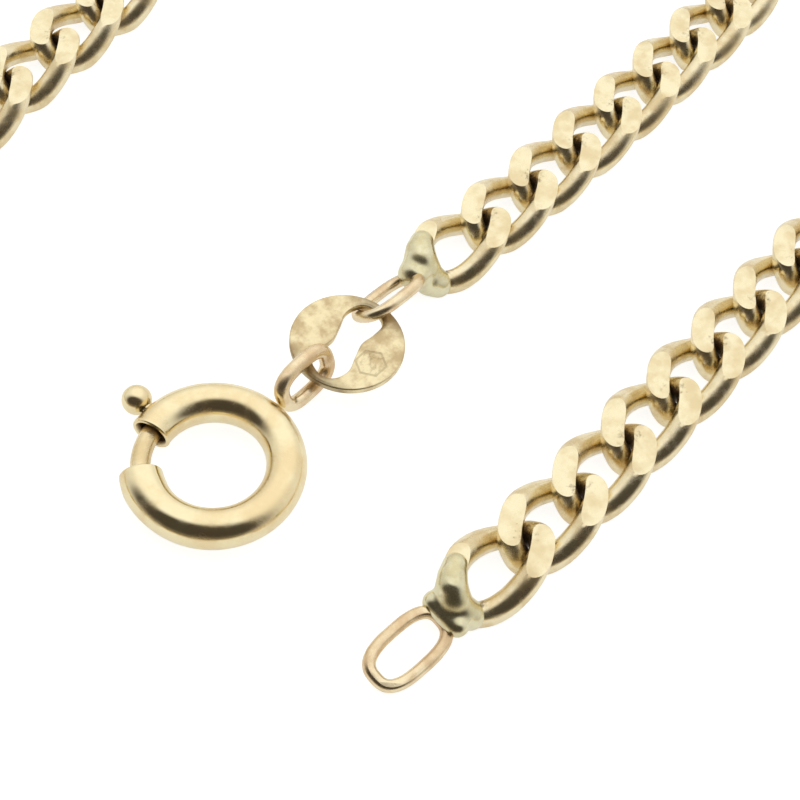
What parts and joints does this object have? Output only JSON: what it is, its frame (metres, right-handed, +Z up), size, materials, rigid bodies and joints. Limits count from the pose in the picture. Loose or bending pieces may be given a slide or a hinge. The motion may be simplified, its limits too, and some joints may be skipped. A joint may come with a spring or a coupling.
{
  "type": "pocket watch chain",
  "caption": "Flat-cut curb watch chain with a sprung bolt ring, a stamped plate link and a soldered end loop at each end, laid in an open loop.",
  "frame": {"origin": "on the table, under the middle of the bounding box of the chain as it lies", "axes": "+Z up from the table; +Y away from the viewer, along the longest side of the box; +X to the right"},
  "size_m": [0.0982, 0.1116, 0.0031],
  "materials": {
    "gold": "polished",
    "solder": "satin",
    "spring_steel": "drawn wire"
  },
  "bodies": {
    "bolt_ring": {"bolt_ring_tube": "gold", "bolt_ring_spring": "spring_steel", "bolt_ring_spring_stop": "gold", "bolt_ring_loop": "gold"},
    "tongue": {"bolt_ring_tongue": "gold", "bolt_ring_thumb_ball": "gold"},
    "plate_link": {"plate_link": "gold"},
    "link_01": {"link_01": "gold", "clasp_end_loop": "gold", "clasp_end_solder": "solder"},
    "link_02": {"link_02": "gold"},
    "link_03": {"link_03": "gold"},
    "link_04": {"link_04": "gold"},
    "link_05": {"link_05": "gold"},
    "link_06": {"link_06": "gold"},
    "link_07": {"link_07": "gold"},
    "link_08": {"link_08": "gold"},
    "link_09": {"link_09": "gold"},
    "link_10": {"link_10": "gold"},
    "links_11_to_13": {"links_11_to_13": "gold"},
    "links_14_to_16": {"links_14_to_16": "gold"},
    "links_17_to_19": {"links_17_to_19": "gold"},
    "links_20_to_22": {"links_20_to_22": "gold"},
    "links_23_to_25": {"links_23_to_25": "gold"},
    "link_26": {"link_26": "gold"},
    "link_27": {"link_27": "gold"},
    "link_28": {"link_28": "gold"},
    "link_29": {"link_29": "gold"},
    "link_30": {"link_30": "gold"},
    "link_31": {"link_31": "gold"},
    "links_32_to_34": {"links_32_to_34": "gold"},
    "links_35_to_37": {"links_35_to_37": "gold"},
    "links_38_to_40": {"links_38_to_40": "gold"},
    "links_41_to_43": {"links_41_to_43": "gold"},
    "links_44_to_46": {"links_44_to_46": "gold"},
    "links_47_to_49": {"links_47_to_49": "gold"},
    "links_50_to_52": {"links_50_to_52": "gold"},
    "links_53_to_55": {"links_53_to_55": "gold"},
    "links_56_to_58": {"links_56_to_58": "gold"},
    "links_59_to_61": {"links_59_to_61": "gold"},
    "links_62_to_64": {"links_62_to_64": "gold"},
    "links_65_to_67": {"links_65_to_67": "gold"},
    "links_68_to_70": {"links_68_to_70": "gold"},
    "link_71": {"link_71": "gold"},
    "link_72": {"link_72": "gold"},
    "link_73": {"link_73": "gold"},
    "link_74": {"link_74": "gold"},
    "link_75": {"link_75": "gold"},
    "link_76": {"link_76": "gold"},
    "link_77": {"link_77": "gold"},
    "link_78": {"link_78": "gold"},
    "link_79": {"link_79": "gold"},
    "link_80": {"link_80": "gold", "tail_end_loop": "gold", "tail_end_solder": "solder"}
  },
  "joints": [
    {"name": "bend_at_link_30", "type": "hinge", "parent": "link_29", "child": "link_30", "pos_m": [-0.03903, 0.00614, 0.0011], "axis": [0.8973, -0.4415, 0], "range_deg": [-22, 22]},
    {"name": "bend_at_link_31", "type": "hinge", "parent": "link_30", "child": "link_31", "pos_m": [-0.04115, 0.00184, 0.0011], "axis": [-0.9077, 0.4196, 0], "range_deg": [-21, 21]},
    {"name": "bend_at_links_32_to_34", "type": "hinge", "parent": "link_31", "child": "links_32_to_34", "pos_m": [-0.04306, -0.00257, 0.0011], "axis": [-0.9271, 0.3747, 0], "range_deg": [-20, 20]},
    {"name": "bend_at_links_35_to_37", "type": "hinge", "parent": "links_32_to_34", "child": "links_35_to_37", "pos_m": [-0.0465, -0.01648, 0.0011], "axis": [0.9989, -0.0463, 0], "range_deg": [-18, 18]},
    {"name": "bend_at_links_38_to_40", "type": "hinge", "parent": "links_35_to_37", "child": "links_38_to_40", "pos_m": [-0.0439, -0.03055, 0.0011], "axis": [0.9262, 0.3771, 0], "range_deg": [-20, 20]},
    {"name": "bend_at_links_41_to_43", "type": "hinge", "parent": "links_38_to_40", "child": "links_41_to_43", "pos_m": [-0.03631, -0.04272, 0.0011], "axis": [-0.745, -0.6671, 0], "range_deg": [-19, 19]},
    {"name": "bend_at_links_44_to_46", "type": "hinge", "parent": "links_41_to_43", "child": "links_44_to_46", "pos_m": [-0.02468, -0.05102, 0.0011], "axis": [-0.3671, -0.9302, 0], "range_deg": [-16, 16]},
    {"name": "bend_at_links_47_to_49", "type": "hinge", "parent": "links_44_to_46", "child": "links_47_to_49", "pos_m": [-0.01052, -0.05306, 0.0011], "axis": [-0.0434, 0.9991, 0], "range_deg": [-22, 22]},
    {"name": "bend_at_links_50_to_52", "type": "hinge", "parent": "links_47_to_49", "child": "links_50_to_52", "pos_m": [0.00374, -0.05111, 0.0011], "axis": [-0.2135, 0.9769, 0], "range_deg": [-23, 23]},
    {"name": "bend_at_links_53_to_55", "type": "hinge", "parent": "links_50_to_52", "child": "links_53_to_55", "pos_m": [0.01739, -0.04663, 0.0011], "axis": [0.4298, -0.9029, 0], "range_deg": [-22, 22]},
    {"name": "bend_at_links_56_to_58", "type": "hinge", "parent": "links_53_to_55", "child": "links_56_to_58", "pos_m": [0.02928, -0.03861, 0.0011], "axis": [0.664, -0.7477, 0], "range_deg": [-23, 23]},
    {"name": "bend_at_links_59_to_61", "type": "hinge", "parent": "links_56_to_58", "child": "links_59_to_61", "pos_m": [0.03889, -0.02793, 0.0011], "axis": [-0.8281, 0.5605, 0], "range_deg": [-22, 22]},
    {"name": "bend_at_links_62_to_64", "type": "hinge", "parent": "links_59_to_61", "child": "links_62_to_64", "pos_m": [0.04516, -0.01502, 0.0011], "axis": [-0.9577, 0.2876, 0], "range_deg": [-20, 20]},
    {"name": "bend_at_links_65_to_67", "type": "hinge", "parent": "links_62_to_64", "child": "links_65_to_67", "pos_m": [0.04582, -0.00081, 0.0011], "axis": [0.9577, 0.2876, 0], "range_deg": [-10, 10]},
    {"name": "bend_at_links_68_to_70", "type": "hinge", "parent": "links_65_to_67", "child": "links_68_to_70", "pos_m": [0.03643, 0.0095, 0.0011], "axis": [0.3739, 0.9275, 0], "range_deg": [-7, 7]},
    {"name": "bend_at_link_71", "type": "hinge", "parent": "links_68_to_70", "child": "link_71", "pos_m": [0.02267, 0.00798, 0.0011], "axis": [0.5575, -0.8302, 0], "range_deg": [-5, 5]},
    {"name": "bend_at_link_72", "type": "hinge", "parent": "link_71", "child": "link_72", "pos_m": [0.01911, 0.00476, 0.0011], "axis": [0.7163, -0.6978, 0], "range_deg": [-16, 16]},
    {"name": "bend_at_link_73", "type": "hinge", "parent": "link_72", "child": "link_73", "pos_m": [0.01599, 0.00111, 0.0011], "axis": [-0.7907, 0.6122, 0], "range_deg": [-18, 18]},
    {"name": "bend_at_link_74", "type": "hinge", "parent": "link_73", "child": "link_74", "pos_m": [0.01324, -0.00282, 0.0011], "axis": [-0.8313, 0.5558, 0], "range_deg": [-21, 21]},
    {"name": "bend_at_link_75", "type": "hinge", "parent": "link_74", "child": "link_75", "pos_m": [0.01065, -0.00686, 0.0011], "axis": [0.8362, -0.5484, 0], "range_deg": [-22, 22]},
    {"name": "bend_at_link_76", "type": "hinge", "parent": "link_75", "child": "link_76", "pos_m": [0.00797, -0.01085, 0.0011], "axis": [0.8305, -0.5571, 0], "range_deg": [-22, 22]},
    {"name": "bend_at_link_77", "type": "hinge", "parent": "link_76", "child": "link_77", "pos_m": [0.0053, -0.01484, 0.0011], "axis": [-0.8345, 0.551, 0], "range_deg": [-22, 22]},
    {"name": "bend_at_link_78", "type": "hinge", "parent": "link_77", "child": "link_78", "pos_m": [0.00268, -0.01886, 0.0011], "axis": [-0.8334, 0.5527, 0], "range_deg": [-22, 22]},
    {"name": "bend_at_link_79", "type": "hinge", "parent": "link_78", "child": "link_79", "pos_m": [0, -0.02284, 0.0011], "axis": [0.8154, -0.579, 0], "range_deg": [-21, 21]},
    {"name": "bend_at_link_80", "type": "hinge", "parent": "link_79", "child": "link_80", "pos_m": [-0.00287, -0.02668, 0.0011], "axis": [0.7964, -0.6048, 0], "range_deg": [-22, 22]},
    {"name": "bend_at_link_28", "type": "hinge", "parent": "link_29", "child": "link_28", "pos_m": [-0.03691, 0.01045, 0.0011], "axis": [0.8985, -0.439, 0], "range_deg": [-22, 22]},
    {"name": "bend_at_link_27", "type": "hinge", "parent": "link_28", "child": "link_27", "pos_m": [-0.03481, 0.01477, 0.0011], "axis": [-0.9006, 0.4346, 0], "range_deg": [-22, 22]},
    {"name": "bend_at_link_26", "type": "hinge", "parent": "link_27", "child": "link_26", "pos_m": [-0.03274, 0.0191, 0.0011], "axis": [-0.9028, 0.4301, 0], "range_deg": [-22, 22]},
    {"name": "bend_at_links_23_to_25", "type": "hinge", "parent": "link_26", "child": "links_23_to_25", "pos_m": [-0.03068, 0.02344, 0.0011], "axis": [0.9043, -0.4269, 0], "range_deg": [-21, 21]},
    {"name": "bend_at_links_20_to_22", "type": "hinge", "parent": "links_23_to_25", "child": "links_20_to_22", "pos_m": [-0.02455, 0.03646, 0.0011], "axis": [0.9169, -0.399, 0], "range_deg": [-23, 23]},
    {"name": "bend_at_links_17_to_19", "type": "hinge", "parent": "links_20_to_22", "child": "links_17_to_19", "pos_m": [-0.01719, 0.04869, 0.0011], "axis": [-0.6674, 0.7447, 0], "range_deg": [-11, 11]},
    {"name": "bend_at_links_14_to_16", "type": "hinge", "parent": "links_17_to_19", "child": "links_14_to_16", "pos_m": [-0.00389, 0.05323, 0.0011], "axis": [-0.0622, -0.9981, 0], "range_deg": [-10, 10]},
    {"name": "bend_at_links_11_to_13", "type": "hinge", "parent": "links_14_to_16", "child": "links_11_to_13", "pos_m": [0.00883, 0.04717, 0.0011], "axis": [-0.739, -0.6738, 0], "range_deg": [-11, 11]},
    {"name": "bend_at_link_10", "type": "hinge", "parent": "links_11_to_13", "child": "link_10", "pos_m": [0.01323, 0.03387, 0.0011], "axis": [-0.996, 0.0889, 0], "range_deg": [-7, 7]},
    {"name": "bend_at_link_09", "type": "hinge", "parent": "link_10", "child": "link_09", "pos_m": [0.01217, 0.02918, 0.0011], "axis": [0.9555, -0.295, 0], "range_deg": [-14, 14]},
    {"name": "bend_at_link_08", "type": "hinge", "parent": "link_09", "child": "link_08", "pos_m": [0.01041, 0.02472, 0.0011], "axis": [0.9063, -0.4226, 0], "range_deg": [-16, 16]},
    {"name": "bend_at_link_07", "type": "hinge", "parent": "link_08", "child": "link_07", "pos_m": [0.00812, 0.0205, 0.0011], "axis": [-0.8628, 0.5056, 0], "range_deg": [-20, 20]},
    {"name": "bend_at_link_06", "type": "hinge", "parent": "link_07", "child": "link_06", "pos_m": [0.00556, 0.01644, 0.0011], "axis": [-0.8479, 0.5302, 0], "range_deg": [-22, 22]},
    {"name": "bend_at_link_05", "type": "hinge", "parent": "link_06", "child": "link_05", "pos_m": [0.00303, 0.01236, 0.0011], "axis": [0.8462, -0.5329, 0], "range_deg": [-22, 22]},
    {"name": "bend_at_link_04", "type": "hinge", "parent": "link_05", "child": "link_04", "pos_m": [0.00044, 0.00832, 0.0011], "axis": [0.8403, -0.542, 0], "range_deg": [-22, 22]},
    {"name": "bend_at_link_03", "type": "hinge", "parent": "link_04", "child": "link_03", "pos_m": [-0.00218, 0.00429, 0.0011], "axis": [-0.8335, 0.5525, 0], "range_deg": [-22, 22]},
    {"name": "bend_at_link_02", "type": "hinge", "parent": "link_03", "child": "link_02", "pos_m": [-0.00486, 0.00032, 0.0011], "axis": [-0.8197, 0.5728, 0], "range_deg": [-22, 22]},
    {"name": "bend_at_link_01", "type": "hinge", "parent": "link_02", "child": "link_01", "pos_m": [-0.00767, -0.00357, 0.0011], "axis": [0.8073, -0.5901, 0], "range_deg": [-22, 22]},
    {"name": "swing_at_plate_link", "type": "hinge", "parent": "link_01", "child": "plate_link", "pos_m": [-0.01338, -0.01235, 0.00157], "axis": [-0.8387, 0.5446, 0], "range_deg": [-6, 40]},
    {"name": "swing_at_bolt_ring", "type": "hinge", "parent": "plate_link", "child": "bolt_ring", "pos_m": [-0.01687, -0.01772, 0.00157], "axis": [-0.8387, 0.5446, 0], "range_deg": [-40, 14]},
    {"name": "tongue_draw", "type": "hinge", "parent": "bolt_ring", "child": "tongue", "pos_m": [-0.02153, -0.02483, 0.00122], "axis": [0, 0, -1], "range_deg": [0, 32], "stiffness_Nm_per_rad": 0.008, "springref_deg": -17.19, "deforming": ["bolt_ring_spring"]}
  ]
}
